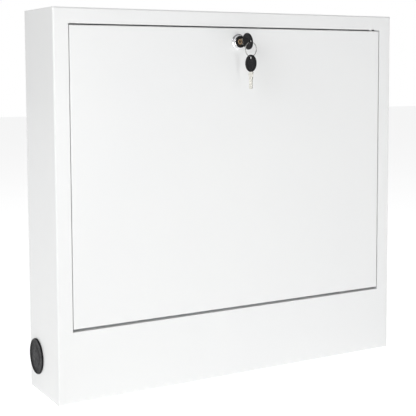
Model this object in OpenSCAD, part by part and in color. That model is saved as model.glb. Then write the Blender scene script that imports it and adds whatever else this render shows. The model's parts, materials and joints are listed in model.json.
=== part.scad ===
/* [Cabinet] */
// Overall width of the cabinet
cabinet_w = 615; // [560:1:700]
// Overall height of the cabinet
cabinet_h = 580; // [560:1:700]
// Depth from the wall to the front face
cabinet_d = 120; // [118:1:150]
// Thickness of the steel sheet
sheet = 1.2; // [1:0.1:1.5]
// Outer radius of the casing's bends
bend_r = 2.5; // [2:0.1:3]
// Width of the frame strip at both sides of the door opening
frame_side = 23.4; // [20:0.1:30]
// Height of the frame strip above the door opening
frame_top = 23; // [20:0.5:30]
// Height of the plinth below the door opening
plinth_h = 107; // [95:1:120]

/* [Door] */
// Gap at each side of the door
gap_side = 1.25; // [1:0.05:2]
// Gap above the door
gap_top = 2; // [1.5:0.1:3]
// Gap below the door
gap_bottom = 4; // [3.5:0.1:6]
// Depth of the door's folded edges
door_fold = 13; // [11:0.5:13]
// Outer radius of the door's bends
door_bend_r = 1.6; // [1.4:0.1:2]
// Distance from the door's face and lower edge to its pivot pins
pivot_inset = 4.5; // [4:0.1:5]

/* [Lock and keys] */
// Distance from the door's top edge to the lock's axis
lock_drop = 21.3; // [20:0.1:26]
// Radius of the lock's flange on the door
lock_flange_r = 12.25; // [11:0.05:13]
// Radius of the lock's drum in front of the flange
lock_drum_r = 10.2; // [9.8:0.1:11]
// Distance from the door's face to the lock's front end
lock_front = 7.5; // [7:0.1:10]
// Angle at which the key leans in the lock, in degrees
key_lean = 8; // [0:1:10]
// Length of a key's plastic head
head_l = 26.6; // [26:0.1:28]
// Width of a key's plastic head
head_w = 26; // [24:0.1:26]
// Thickness of a key's plastic head
head_t = 3; // [2.8:0.1:4]
// Mean radius of the wire ring that joins the keys
ring_r = 11.2; // [11:0.1:12]

/* [Side plugs] */
// Distance from the cabinet's front face to a plug's axis
plug_back = 89.5; // [70:0.5:90]
// Height of a plug's axis
plug_z = 53; // [45:0.5:70]
// Radius of a plug's rim
plug_r = 27.4; // [26.5:0.1:28]

/* [Manifold] */
// Distance between neighbouring loops
pitch = 50; // [48:1:55]
// Distance from the cabinet's middle to the middle of the row of loops
row_x = 25; // [15:1:30]
// Height of the supply bar's axis
supply_z = 405; // [395:1:415]
// Distance from the wall to the supply bar's axis
supply_back = 42; // [40:1:44]
// Height of the return bar's axis
return_z = 235; // [225:1:240]
// Distance from the wall to the return bar's axis
return_back = 80; // [78:1:82]
// Outer radius of a bar
bar_r = 17; // [16:0.5:17]
// Wall thickness of a bar
bar_wall = 2; // [1.5:0.5:3]

/* [Hidden] */

// Smoothness of round shapes
$fn = 64;
// A small overlap, so that cuts pass through cleanly
eps = 0.1;
// Clearance of a running fit, and of a loose fit
fit = 0.05;
loose = 0.3;

// Cabinet
front_y = -cabinet_d;
inner_front_y = front_y + sheet;
back_y = -sheet;
rear_flange = 15;
plinth_return = 20;
opening_x = cabinet_w / 2 - frame_side;
opening_z0 = plinth_h;
opening_z1 = cabinet_h - frame_top;
opening_return = 10;
latch_return = 13.5;
latch_end_gap = 22;
relief_at = 11;
relief_w = 6;
relief_h = 0.4;
fill_h = 1.1;
panel_margin = 1;
wall_hole_r = 4;
wall_hole_x = 250;
wall_hole_z = [70, 510];

// Door
door_x = opening_x - gap_side;
door_z0 = opening_z0 + gap_bottom;
door_z1 = opening_z1 - gap_top;
pivot_y = front_y + pivot_inset;
pivot_z = door_z0 + pivot_inset;
pin_r = 2;
pin_head_r = 3;
pin_head_t = 1.2;
pin_reach = 4.5;

// Lock
lock_z = door_z1 - lock_drop;
lock_y = front_y - lock_front;
lock_flange_t = 2;
barrel_r = 9.5;
barrel_l = 14;
lock_nut_t = 5;
lock_nut_r = 13.9;
face_r = 9.3;
face_t = 1.2;
core_front_r = 4.4;
core_front_l = 3;
core_dish_r = 3.2;
core_dish_depth = 1;
core_r = 6;
core_proud = 0.2;
core_back_y = front_y + barrel_l;
shank_w = 6.5;
cam_gap = 0.3;
cam_t = 2;
cam_w = 16;
cam_l = 34;
cam_y = core_back_y + cam_gap;
cam_screw_r = 2;
cam_screw_l = 4.5;
cam_screw_head_r = 5;
cam_screw_head_t = 2.5;

// Keys, drawn with the head's centre at the origin, the blade down and the plate across X
blade_t = 2;
blade_w = 7.2;
blade_l = 26;
shoulder_w = 9.6;
shoulder_l = 7;
tang_w = 7;
tang_l = 9;
tang_t = 1.2;
key_slot_w = blade_w + 0.5;
key_slot_t = blade_t + 0.5;
key_slot_l = 20;
head_panel_l = 18;
head_panel_w = 13;
head_panel_drop = 2.2;
head_panel_depth = 0.4;
head_hole = 8.8;
head_hole_r = 2.7;
bit_pitch = 3.2;
bit_depths = [0.7, 1.3, 0.5, 1.1];
key_exposed = 7.8;
wire_r = 0.7;
wire_offset = 1.4;
ring_turn = 9;
key_1_y = lock_y - key_exposed - head_l / 2;
ring_y = key_1_y - head_hole;
ring_z = lock_z - wire_offset - ring_r;
key_2_z = ring_z - ring_r - wire_offset - head_hole;
key_2_turn = 6;

// Side plugs
plug_y = front_y + plug_back;
plug_hole_r = 25;
plug_skirt_r = 24.92;
plug_skirt_wall = 2;
plug_skirt_l = 9;
plug_rim_w = 2.6;
plug_rim_t = 2.6;
plug_face_t = 1.5;
plug_dimple_r = 1.6;
plug_dimple_at = 17;
plug_dimple_depth = 0.8;

// Rails
rail_l = 560;
rail_h = 30;
rail_d = 12;
rail_wall = 1.5;
rail_slot = 14;
rail_z = [275, 365];
rail_front_y = back_y - rail_d;

// Brackets
loops = 5;
loop_x = [for (i = [0 : loops - 1]) row_x + (i - (loops - 1) / 2) * pitch];
bracket_x = [(loop_x[0] + loop_x[1]) / 2, (loop_x[3] + loop_x[4]) / 2];
bracket_w = 26;
bracket_t = 3;
bracket_y = rail_front_y - bracket_t;
bracket_margin = 3;
bolt_r = 3;
bolt_head_r = 5.77;
bolt_head_t = 4;
nut_l = 18;
nut_h = 20;
nut_t = 5;
nut_y = rail_front_y + rail_wall + loose;

// Clamps
clamp_w = 16;
clamp_h = 54;
clamp_wall = 5;
clamp_screw_at = 22;
clamp_screw_r = 3;
clamp_screw_head_r = 5;
clamp_screw_head_t = 3.5;

// Bars
supply_y = -supply_back;
return_y = -return_back;
bar_end = 35;
bar_x0 = loop_x[0] - bar_end;
bar_x1 = loop_x[loops - 1] + bar_end;
boss_r = 12.5;
boss_h = 22;
port_r = 8;

// Outlets
outlet_hex_r = 15.6;
outlet_hex_t = 6;
outlet_r = 13.2;
outlet_l = 14;
outlet_tail_l = 5;
cone_r = 9.5;
cone_l = 6;

// Flow meters
glass_r = 8;
glass_l = 55;
glass_seat = 6;
flow_ring_r = 13;
flow_ring_h = 13;
flow_gap = 0.4;
grip_count = 18;
grip_r = 0.9;

// Valve inserts and caps
insert_hex_r = 13.9;
insert_hex_t = 8;
insert_r = 15;
insert_l = 10;
insert_tail_r = 7.9;
spindle_r = 2.5;
spindle_l = 6;
cap_r = 19;
cap_h = 30;
cap_top_t = 5;
cap_gap = 0.5;
cap_grip_count = 20;
cap_grip_r = 1.3;

// Ball valves
valve_nut_l = 16;
valve_nut_r = 23;
valve_l = 74;
valve_end_r = 21.5;
valve_end_l = 18;
valve_mid_r = 20.5;
valve_bore_r = 12.5;
valve_thread_r = 15.15;
valve_thread_l = 16;
ball_r = 16;
ball_gap = 0.4;
valve_x1 = bar_x0 - valve_nut_l;
valve_x0 = valve_x1 - valve_l;
valve_mid_x = (valve_x0 + valve_x1) / 2;
stem_r = 4;
stem_boss_r = 8;
stem_boss_h = 27;
handle_l = 50;
handle_w = 11;
handle_t = 14;
handle_hub_r = 10;
handle_gap = 0.5;
stem_h = stem_boss_h + 9;

// End pieces
end_hex_r = 22;
end_hex_l = 12;
end_l = 30;
end_r = 16;
vent_r = 9;
vent_h = 26;
vent_neck_r = 5;
vent_neck_h = 10;
vent_cap_r = 3;
vent_cap_h = 5;
drain_r = 10;
drain_l = 22;
drain_cap_r = 12.5;
drain_cap_l = 9;
drain_neck_r = 7;

// Places what its child draws along Z so that it runs along X or Y from the given point
module along_x(x, y, z) {
    translate([x, y, z]) rotate([0, 90, 0]) children();
}

module along_y(x, y, z) {
    translate([x, y, z]) rotate([-90, 0, 0]) children();
}

// Rectangle from y0 to y1 and x0 to x1 whose two corners at x0 are rounded
module rounded_at_start(x0, x1, y0, y1, r) {
    translate([x0 + r, y0]) square([x1 - x0 - r, y1 - y0]);
    translate([x0, y0 + r]) square([r + eps, y1 - y0 - 2 * r]);
    translate([x0 + r, y0 + r]) circle(r);
    translate([x0 + r, y1 - r]) circle(r);
}

// Block whose four edges around the front face are bends
module folded_block(half_w, y0, y1, z0, z1, r) {
    intersection() {
        translate([0, 0, z0]) rotate([0, 0, 90]) mirror([0, 1, 0]) linear_extrude(z1 - z0)
            rounded_at_start(y0, y1, -half_w, half_w, r);
        translate([-half_w, 0, 0]) rotate([90, 0, 90]) linear_extrude(2 * half_w)
            rounded_at_start(y0, y1, z0, z1, r);
    }
}

// Outline with straight sides and round ends, length l along Y
module stadium(l, w) {
    for (s = [-1, 1]) translate([0, s * (l - w) / 2]) circle(w / 2);
    square([w, l - w], center = true);
}

// Ring of small round grips around a cylinder
module grips(count, at_r, r, h) {
    for (i = [0 : count - 1]) rotate([0, 0, 360 * i / count]) translate([at_r, 0, 0])
        cylinder(r = r, h = h, $fn = 16);
}

// Casing: frame, sides, top and plinth folded from one sheet
module casing() {
    color("white") difference() {
        union() {
            difference() {
                folded_block(cabinet_w / 2, front_y, back_y, 0, cabinet_h, bend_r);
                folded_block(cabinet_w / 2 - sheet, inner_front_y, back_y - sheet, sheet, cabinet_h - sheet,
                             bend_r - sheet);
                casing_floor_cut();
                casing_rear_cut();
                translate([-opening_x, front_y - eps, opening_z0])
                    cube([2 * opening_x, sheet + 2 * eps, opening_z1 - opening_z0]);
            }
            opening_returns();
            corner_fill();
        }
        frame_relief();
        for (s = [-1, 1]) {
            along_x(s * (opening_x + sheet / 2) - sheet, pivot_y, pivot_z)
                cylinder(r = pin_r + fit, h = 2 * sheet);
            along_x(s * cabinet_w / 2 - 2 * sheet, plug_y, plug_z) cylinder(r = plug_hole_r, h = 4 * sheet);
        }
    }
}

// The casing has no floor behind the plinth's folded lower edge
module casing_floor_cut() {
    translate([-cabinet_w / 2 + sheet, front_y + plinth_return, -eps])
        cube([cabinet_w - 2 * sheet, cabinet_d - plinth_return, 2 * sheet]);
}

// The open rear, inside the flanges that the back panel is welded to
module casing_rear_cut() {
    translate([-cabinet_w / 2 + rear_flange, back_y - sheet - eps, -eps])
        cube([cabinet_w - 2 * rear_flange, sheet + 2 * eps, cabinet_h - rear_flange + eps]);
}

// Folded edges of the door opening
module opening_returns() {
    root_y = front_y + sheet / 2;
    for (s = [-1, 1])
        translate([s * (opening_x + sheet / 2) - sheet / 2, root_y, opening_z0 - sheet])
            cube([sheet, opening_return - sheet / 2, opening_z1 - opening_z0 + 2 * sheet]);
    translate([-opening_x, root_y, opening_z0 - sheet])
        cube([2 * opening_x, opening_return - sheet / 2, sheet]);
    translate([-opening_x + latch_end_gap, root_y, opening_z1])
        cube([2 * (opening_x - latch_end_gap), latch_return - sheet / 2, sheet]);
}

// Weld between the end of the upper folded edge and the corner, ground flat, and the notch left open in it
module corner_fill() {
    translate([opening_x - latch_end_gap, front_y + fit, opening_z1 - fill_h])
        cube([latch_end_gap + sheet / 2, sheet - fit, fill_h + sheet / 2]);
}

module frame_relief() {
    translate([opening_x - relief_at - relief_w, front_y - eps, opening_z1 - fill_h - eps])
        cube([relief_w, sheet + 2 * eps, fill_h + relief_h + eps]);
}

// Back panel, spot welded to the casing's rear flanges, which lies against the wall
module back_panel() {
    color("gainsboro") difference() {
        translate([-cabinet_w / 2 + panel_margin, back_y, 0])
            cube([cabinet_w - 2 * panel_margin, sheet, cabinet_h - panel_margin]);
        for (s = [-1, 1], z = wall_hole_z)
            along_y(s * wall_hole_x, back_y - sheet, z) cylinder(r = wall_hole_r, h = 3 * sheet);
    }
}

// C-rails spot welded across the back panel
module rail(z) {
    color("silver") difference() {
        translate([-rail_l / 2, rail_front_y, z - rail_h / 2]) cube([rail_l, rail_d, rail_h]);
        translate([-rail_l / 2 - eps, rail_front_y + rail_wall, z - rail_h / 2 + rail_wall])
            cube([rail_l + 2 * eps, rail_d - 2 * rail_wall, rail_h - 2 * rail_wall]);
        translate([-rail_l / 2 - eps, rail_front_y - eps, z - rail_slot / 2])
            cube([rail_l + 2 * eps, rail_wall + 2 * eps, rail_slot]);
    }
}

module rail_upper() {
    rail(rail_z[1]);
}

module rail_lower() {
    rail(rail_z[0]);
}

// Brackets that carry both bars on the rails
module bracket(x) {
    z0 = return_z - clamp_h / 2 - bracket_margin;
    z1 = supply_z + clamp_h / 2 + bracket_margin;
    color("silver") difference() {
        translate([x - bracket_w / 2, bracket_y, z0]) cube([bracket_w, bracket_t, z1 - z0]);
        for (z = rail_z) along_y(x, bracket_y - eps, z) cylinder(r = bolt_r + fit, h = bracket_t + 2 * eps);
        for (z = [supply_z, return_z], s = [-1, 1])
            along_y(x, bracket_y - eps, z + s * clamp_screw_at)
                cylinder(r = clamp_screw_r + fit, h = bracket_t + 2 * eps);
    }
}

module bracket_left() {
    bracket(bracket_x[0]);
}

module bracket_right() {
    bracket(bracket_x[1]);
}

module bracket_bolts() {
    color("silver") for (x = bracket_x, z = rail_z) {
        along_y(x, bracket_y - bolt_head_t, z) cylinder(r = bolt_head_r, h = bolt_head_t, $fn = 6);
        along_y(x, bracket_y - eps, z) cylinder(r = bolt_r, h = nut_y + nut_t - bracket_y + eps);
    }
}

module slide_nuts() {
    color("silver") for (x = bracket_x, z = rail_z) difference() {
        translate([x - nut_l / 2, nut_y, z - nut_h / 2]) cube([nut_l, nut_t, nut_h]);
        along_y(x, nut_y - eps, z) cylinder(r = bolt_r + fit, h = nut_t + 2 * eps);
    }
}

// Clamps: a base on the bracket and a cap around the front half of the bar
module clamp_base(x, bar_y, bar_z) {
    color("dimgray") difference() {
        translate([x - clamp_w / 2, bar_y + fit, bar_z - clamp_h / 2])
            cube([clamp_w, bracket_y - bar_y - fit, clamp_h]);
        along_x(x - clamp_w / 2 - eps, bar_y, bar_z) cylinder(r = bar_r + fit, h = clamp_w + 2 * eps);
        clamp_screw_holes(x, bar_y, bar_z);
    }
}

module clamp_cap(x, bar_y, bar_z) {
    color("dimgray") difference() {
        union() {
            translate([x - clamp_w / 2, bar_y - clamp_wall, bar_z - clamp_h / 2])
                cube([clamp_w, clamp_wall - fit, clamp_h]);
            along_x(x - clamp_w / 2, bar_y, bar_z) cylinder(r = bar_r + clamp_wall - 1, h = clamp_w);
        }
        translate([x - clamp_w / 2 - eps, bar_y - fit, bar_z - clamp_h / 2])
            cube([clamp_w + 2 * eps, clamp_h, clamp_h]);
        along_x(x - clamp_w / 2 - eps, bar_y, bar_z) cylinder(r = bar_r + fit, h = clamp_w + 2 * eps);
        clamp_screw_holes(x, bar_y, bar_z);
        for (s = [-1, 1]) along_y(x, bar_y - clamp_wall - clamp_h, bar_z + s * clamp_screw_at)
            cylinder(r = clamp_screw_head_r + fit, h = clamp_h);
    }
}

module clamp_screw_holes(x, bar_y, bar_z) {
    for (s = [-1, 1]) along_y(x, bar_y - clamp_wall - eps, bar_z + s * clamp_screw_at)
        cylinder(r = clamp_screw_r + fit, h = cabinet_d);
}

module clamp_base_supply_left() {
    clamp_base(bracket_x[0], supply_y, supply_z);
}

module clamp_base_supply_right() {
    clamp_base(bracket_x[1], supply_y, supply_z);
}

module clamp_base_return_left() {
    clamp_base(bracket_x[0], return_y, return_z);
}

module clamp_base_return_right() {
    clamp_base(bracket_x[1], return_y, return_z);
}

module clamp_cap_supply_left() {
    clamp_cap(bracket_x[0], supply_y, supply_z);
}

module clamp_cap_supply_right() {
    clamp_cap(bracket_x[1], supply_y, supply_z);
}

module clamp_cap_return_left() {
    clamp_cap(bracket_x[0], return_y, return_z);
}

module clamp_cap_return_right() {
    clamp_cap(bracket_x[1], return_y, return_z);
}

module clamp_screws() {
    color("silver") for (x = bracket_x, bar = [[supply_y, supply_z], [return_y, return_z]], s = [-1, 1]) {
        head_y = bar[0] - clamp_wall;
        z = bar[1] + s * clamp_screw_at;
        along_y(x, head_y - clamp_screw_head_t, z) cylinder(r = clamp_screw_head_r, h = clamp_screw_head_t);
        along_y(x, head_y - eps, z) cylinder(r = clamp_screw_r, h = bracket_y + bracket_t - head_y + eps);
    }
}

// Bars: tubes with a boss above and below at every loop
module bar(y, z) {
    color("silver") difference() {
        union() {
            along_x(bar_x0, y, z) cylinder(r = bar_r, h = bar_x1 - bar_x0);
            for (x = loop_x) translate([x, y, z - boss_h]) cylinder(r = boss_r, h = 2 * boss_h);
        }
        along_x(bar_x0 - eps, y, z) cylinder(r = bar_r - bar_wall, h = bar_x1 - bar_x0 + 2 * eps);
        for (x = loop_x) translate([x, y, z - boss_h - eps]) cylinder(r = port_r + fit, h = 2 * (boss_h + eps));
    }
}

module supply_bar() {
    bar(supply_y, supply_z);
}

module return_bar() {
    bar(return_y, return_z);
}

// Loop outlets: a hexagon, a threaded end with a cone seat, and a tail in the bar's boss
module outlet(x, y, z) {
    translate([x, y, z - boss_h]) difference() {
        union() {
            translate([0, 0, -outlet_hex_t]) cylinder(r = outlet_hex_r, h = outlet_hex_t, $fn = 6);
            translate([0, 0, -outlet_hex_t - outlet_l]) cylinder(r = outlet_r, h = outlet_l + eps);
            translate([0, 0, -eps]) cylinder(r = port_r, h = outlet_tail_l + eps);
        }
        translate([0, 0, -outlet_hex_t - outlet_l - eps])
            cylinder(r = port_r - bar_wall, h = outlet_hex_t + outlet_l + outlet_tail_l + 2 * eps);
        translate([0, 0, -outlet_hex_t - outlet_l - eps])
            cylinder(r1 = cone_r, r2 = port_r - bar_wall - eps, h = cone_l + eps);
    }
}

module supply_outlets() {
    color("goldenrod") for (x = loop_x) outlet(x, supply_y, supply_z);
}

module return_outlets() {
    color("goldenrod") for (x = loop_x) outlet(x, return_y, return_z);
}

// Flow meters: a clear tube in each upper boss of the supply bar, with an adjusting ring around it
module flow_glasses() {
    color("lightcyan") for (x = loop_x) translate([x, supply_y, supply_z + boss_h - glass_seat]) {
        cylinder(r = glass_r, h = glass_seat + glass_l - glass_r);
        translate([0, 0, glass_seat + glass_l - glass_r]) intersection() {
            sphere(glass_r);
            cylinder(r = glass_r, h = glass_r);
        }
    }
}

module flow_ring(i) {
    translate([loop_x[i], supply_y, supply_z + boss_h + flow_gap]) color("firebrick") difference() {
        union() {
            cylinder(r = flow_ring_r, h = flow_ring_h);
            grips(grip_count, flow_ring_r, grip_r, flow_ring_h);
        }
        translate([0, 0, -eps]) cylinder(r = glass_r + fit, h = flow_ring_h + 2 * eps);
    }
}

// Thermostatic valve inserts in the return bar's upper bosses, with hand caps over their threads
module valve_inserts() {
    color("silver") for (x = loop_x) translate([x, return_y, return_z + boss_h]) {
        translate([0, 0, -glass_seat]) cylinder(r = insert_tail_r, h = glass_seat + eps);
        cylinder(r = insert_hex_r, h = insert_hex_t, $fn = 6);
        translate([0, 0, insert_hex_t - eps]) cylinder(r = insert_r, h = insert_l + eps);
        translate([0, 0, insert_hex_t + insert_l - eps]) cylinder(r = spindle_r, h = spindle_l + eps);
    }
}

module valve_cap(i) {
    cap_z = return_z + boss_h + insert_hex_t + cap_gap;
    translate([loop_x[i], return_y, cap_z]) color("royalblue") difference() {
        union() {
            cylinder(r = cap_r, h = cap_h);
            grips(cap_grip_count, cap_r, cap_grip_r, cap_h);
        }
        translate([0, 0, -eps]) cylinder(r = insert_r + fit, h = cap_h - cap_top_t + eps);
    }
}

// Ball valves on the bars' left ends, with a threaded mouth to the left
module ball_valve(y, z) {
    color("silver") difference() {
        union() {
            along_x(valve_x1, y, z) cylinder(r = valve_nut_r, h = valve_nut_l, $fn = 6);
            along_x(valve_x0, y, z) cylinder(r = valve_mid_r, h = valve_l + eps);
            along_x(valve_x0, y, z) cylinder(r = valve_end_r + 2, h = valve_end_l, $fn = 6);
            translate([valve_mid_x, y, z]) cylinder(r = stem_boss_r, h = stem_boss_h);
        }
        along_x(valve_x0 - eps, y, z) cylinder(r = valve_bore_r, h = valve_l + valve_nut_l + 2 * eps);
        along_x(valve_x0 - eps, y, z) cylinder(r = valve_thread_r, h = valve_thread_l + eps);
        translate([valve_mid_x, y, z]) sphere(ball_r + ball_gap);
        translate([valve_mid_x, y, z]) cylinder(r = stem_r + fit, h = stem_boss_h + eps);
    }
}

module ball_valve_supply() {
    ball_valve(supply_y, supply_z);
}

module ball_valve_return() {
    ball_valve(return_y, return_z);
}

// Bored ball with its stem
module valve_ball(y, z) {
    color("silver") translate([valve_mid_x, y, z]) difference() {
        union() {
            sphere(ball_r);
            cylinder(r = stem_r, h = stem_h);
        }
        along_x(-ball_r - eps, 0, 0) cylinder(r = valve_bore_r - ball_gap, h = 2 * (ball_r + eps));
    }
}

module valve_ball_supply() {
    valve_ball(supply_y, supply_z);
}

module valve_ball_return() {
    valve_ball(return_y, return_z);
}

// Butterfly handle on the stem, in line with the bar when the valve is open
module valve_handle(y, z) {
    translate([valve_mid_x, y, z + stem_boss_h + handle_gap]) difference() {
        union() {
            cylinder(r = handle_hub_r, h = handle_t);
            linear_extrude(handle_t) rotate([0, 0, 90]) stadium(handle_l, handle_w);
        }
        translate([0, 0, -eps]) cylinder(r = stem_r + fit, h = stem_h - stem_boss_h + eps);
    }
}

module valve_handle_supply() {
    color("firebrick") valve_handle(supply_y, supply_z);
}

module valve_handle_return() {
    color("royalblue") valve_handle(return_y, return_z);
}

// End pieces close the bars' right ends and carry a vent above and a drain cock at the end
module end_piece(y, z) {
    color("silver") difference() {
        union() {
            along_x(bar_x1, y, z) cylinder(r = end_hex_r, h = end_hex_l, $fn = 6);
            along_x(bar_x1 + end_hex_l - eps, y, z) cylinder(r = end_r, h = end_l - end_hex_l + eps);
        }
        translate([vent_x(), y, z]) cylinder(r = vent_neck_r + fit, h = end_hex_r);
        along_x(bar_x1 - eps, y, z) cylinder(r = drain_neck_r + fit, h = end_l + 2 * eps);
    }
}

function vent_x() = bar_x1 + end_hex_l + (end_l - end_hex_l) / 2;

module end_piece_supply() {
    end_piece(supply_y, supply_z);
}

module end_piece_return() {
    end_piece(return_y, return_z);
}

module air_vents() {
    color("silver") for (bar = [[supply_y, supply_z], [return_y, return_z]])
        translate([vent_x(), bar[0], bar[1] + end_r - vent_cap_r]) {
            cylinder(r = vent_neck_r, h = vent_neck_h);
            translate([0, 0, vent_neck_h - eps]) cylinder(r = vent_r, h = vent_h);
            translate([0, 0, vent_neck_h + vent_h - 2 * eps]) cylinder(r = vent_cap_r, h = vent_cap_h);
        }
}

module drain_cocks() {
    color("silver") for (bar = [[supply_y, supply_z], [return_y, return_z]])
        translate([bar_x1 + end_l, bar[0], bar[1]]) {
            along_x(-vent_neck_h / 2, 0, 0) cylinder(r = drain_neck_r, h = vent_neck_h / 2 + eps);
            along_x(0, 0, 0) cylinder(r = drain_r, h = drain_l - drain_cap_l + eps);
            along_x(drain_l - drain_cap_l, 0, 0) cylinder(r = drain_cap_r, h = drain_cap_l);
        }
}

// Door: a panel folded on all four sides
module door() {
    color("white") difference() {
        folded_block(door_x, front_y, front_y + door_fold, door_z0, door_z1, door_bend_r);
        folded_block(door_x - sheet, inner_front_y, front_y + door_fold + eps, door_z0 + sheet, door_z1 - sheet,
                     door_bend_r - sheet);
        along_y(0, front_y - eps, lock_z) cylinder(r = barrel_r + fit, h = sheet + 2 * eps);
        for (s = [-1, 1]) along_x(s * door_x - 2 * sheet, pivot_y, pivot_z)
            cylinder(r = pin_r + fit, h = 4 * sheet);
    }
}

// Pins riveted in the door's sides, which turn in the frame
module door_pins() {
    color("silver") for (s = [0, 1]) mirror([s, 0, 0]) {
        along_x(door_x - sheet - eps, pivot_y, pivot_z) cylinder(r = pin_r, h = pin_reach);
        along_x(door_x - sheet - pin_head_t, pivot_y, pivot_z) cylinder(r = pin_head_r, h = pin_head_t);
    }
}

// Lock housing: drum, flange and threaded barrel, bored for the core
module lock_housing() {
    color("lightgray") difference() {
        union() {
            along_y(0, lock_y, lock_z) cylinder(r = lock_drum_r, h = lock_front);
            along_y(0, front_y - lock_flange_t, lock_z) cylinder(r = lock_flange_r, h = lock_flange_t);
            along_y(0, front_y - eps, lock_z) cylinder(r = barrel_r, h = barrel_l + eps);
        }
        along_y(0, lock_y - eps, lock_z) cylinder(r = core_front_r + fit, h = lock_front + barrel_l + 2 * eps);
        along_y(0, lock_y + core_front_l, lock_z) cylinder(r = core_r + fit, h = lock_front + barrel_l);
        along_y(0, lock_y - eps, lock_z) cylinder(r = face_r + fit, h = face_t + eps);
    }
}

module lock_face() {
    color("black") along_y(0, lock_y, lock_z) difference() {
        cylinder(r = face_r, h = face_t);
        translate([0, 0, -eps]) cylinder(r = core_front_r + loose, h = face_t + 2 * eps);
    }
}

module lock_nut() {
    color("silver") along_y(0, inner_front_y, lock_z) difference() {
        cylinder(r = lock_nut_r, h = lock_nut_t, $fn = 6);
        translate([0, 0, -eps]) cylinder(r = barrel_r + fit, h = lock_nut_t + 2 * eps);
    }
}

// What turns with the key: drawn upright and then leaned about the lock's axis
module lean() {
    translate([0, 0, lock_z]) rotate([0, -key_lean, 0]) children();
}

module lock_core() {
    front_len = core_front_l + core_proud + loose;
    body_y = lock_y + core_front_l + fit;
    color("goldenrod") lean() difference() {
        union() {
            along_y(0, lock_y - core_proud, 0) cylinder(r = core_front_r, h = front_len);
            along_y(0, body_y, 0) cylinder(r = core_r, h = core_back_y - body_y);
            translate([-shank_w / 2, core_back_y - eps, -shank_w / 2])
                cube([shank_w, cam_gap + cam_t + eps, shank_w]);
        }
        translate([-key_slot_t / 2, lock_y - 1, -key_slot_w / 2]) cube([key_slot_t, key_slot_l, key_slot_w]);
        along_y(0, lock_y - 1, 0) cylinder(r = core_dish_r, h = 1 + core_dish_depth);
        along_y(0, cam_y + cam_t - cam_screw_l, 0) cylinder(r = cam_screw_r + fit, h = cam_screw_l + eps);
    }
}

module cam() {
    color("silver") lean() difference() {
        along_y(0, cam_y, 0) linear_extrude(cam_t) translate([-(cam_l - cam_w / 2) / 2, 0]) rotate([0, 0, 90])
            stadium(cam_l + cam_w / 2, cam_w);
        translate([-shank_w / 2 - fit, cam_y - eps, -shank_w / 2 - fit])
            cube([shank_w + 2 * fit, cam_t + 2 * eps, shank_w + 2 * fit]);
    }
}

module cam_screw() {
    color("silver") lean() {
        along_y(0, cam_y + cam_t - cam_screw_l + loose, 0) cylinder(r = cam_screw_r, h = cam_screw_l);
        along_y(0, cam_y + cam_t, 0) cylinder(r = cam_screw_head_r, h = cam_screw_head_t);
    }
}

// Places a key: the first in the lock, the second hanging from the ring
module place_key_1() {
    lean() translate([0, key_1_y, 0]) rotate([90, 0, 0]) children();
}

module place_key_2() {
    translate([0, ring_y, key_2_z]) rotate([0, 0, key_2_turn]) children();
}

module key_head() {
    color("black") difference() {
        rotate([90, 0, 90]) linear_extrude(head_t, center = true) stadium(head_l, head_w);
        for (s = [-1, 1]) translate([s * (head_t - head_panel_depth + eps) / 2, 0, -head_panel_drop])
            rotate([90, 0, 90]) linear_extrude(head_panel_depth + eps, center = true)
                rotate([0, 0, 90]) stadium(head_panel_l, head_panel_w);
        along_x(-head_t, 0, head_hole) cylinder(r = head_hole_r, h = 2 * head_t);
        translate([-tang_t / 2 - fit, -tang_w / 2 - fit, -head_l / 2 - eps])
            cube([tang_t + 2 * fit, tang_w + 2 * fit, tang_l + eps + fit]);
    }
}

module key_blade() {
    neck_z = -head_l / 2;
    tip_z = neck_z - blade_l;
    color("silver") difference() {
        union() {
            translate([-tang_t / 2, -tang_w / 2, neck_z - eps]) cube([tang_t, tang_w, tang_l + eps]);
            translate([-blade_t / 2, -shoulder_w / 2, neck_z - shoulder_l])
                cube([blade_t, shoulder_w, shoulder_l - fit]);
            translate([-blade_t / 2, -blade_w / 2, tip_z + 1]) cube([blade_t, blade_w, blade_l - 1 - fit]);
            translate([-blade_t / 2, -blade_w / 2 + 1, tip_z]) cube([blade_t, blade_w - 2, 2]);
        }
        for (s = [-1, 1], i = [0 : len(bit_depths) - 1])
            translate([0, s * (blade_w / 2 + 1 - bit_depths[i]), tip_z + (i + 1) * bit_pitch])
                rotate([45, 0, 0]) cube([2 * blade_t, sqrt(2), sqrt(2)], center = true);
    }
}

module key_head_1() {
    place_key_1() key_head();
}

module key_blade_1() {
    place_key_1() key_blade();
}

module key_head_2() {
    place_key_2() key_head();
}

module key_blade_2() {
    place_key_2() key_blade();
}

// Thin wire ring through both key heads
module key_ring() {
    color("silver") translate([0, ring_y, ring_z]) rotate([90, 0, ring_turn])
        rotate_extrude() translate([ring_r, 0]) circle(wire_r, $fn = 24);
}

// Side plug: a dished cap with a skirt in the casing's hole, drawn along +Z
module side_plug() {
    color("black") difference() {
        union() {
            translate([0, 0, loose]) cylinder(r = plug_r, h = plug_rim_t);
            translate([0, 0, -plug_skirt_l]) cylinder(r = plug_skirt_r, h = plug_skirt_l + 2 * loose);
        }
        translate([0, 0, loose + plug_face_t]) cylinder(r = plug_r - plug_rim_w, h = plug_rim_t);
        translate([0, 0, -plug_skirt_l - eps]) cylinder(r = plug_skirt_r - plug_skirt_wall, h = plug_skirt_l + eps);
        for (s = [-1, 1]) translate([s * plug_dimple_at, 0, loose + plug_face_t - plug_dimple_depth])
            cylinder(r = plug_dimple_r, h = plug_rim_t);
    }
}

module side_plug_right() {
    along_x(cabinet_w / 2, plug_y, plug_z) side_plug();
}

module side_plug_left() {
    mirror([1, 0, 0]) along_x(cabinet_w / 2, plug_y, plug_z) side_plug();
}

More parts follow.
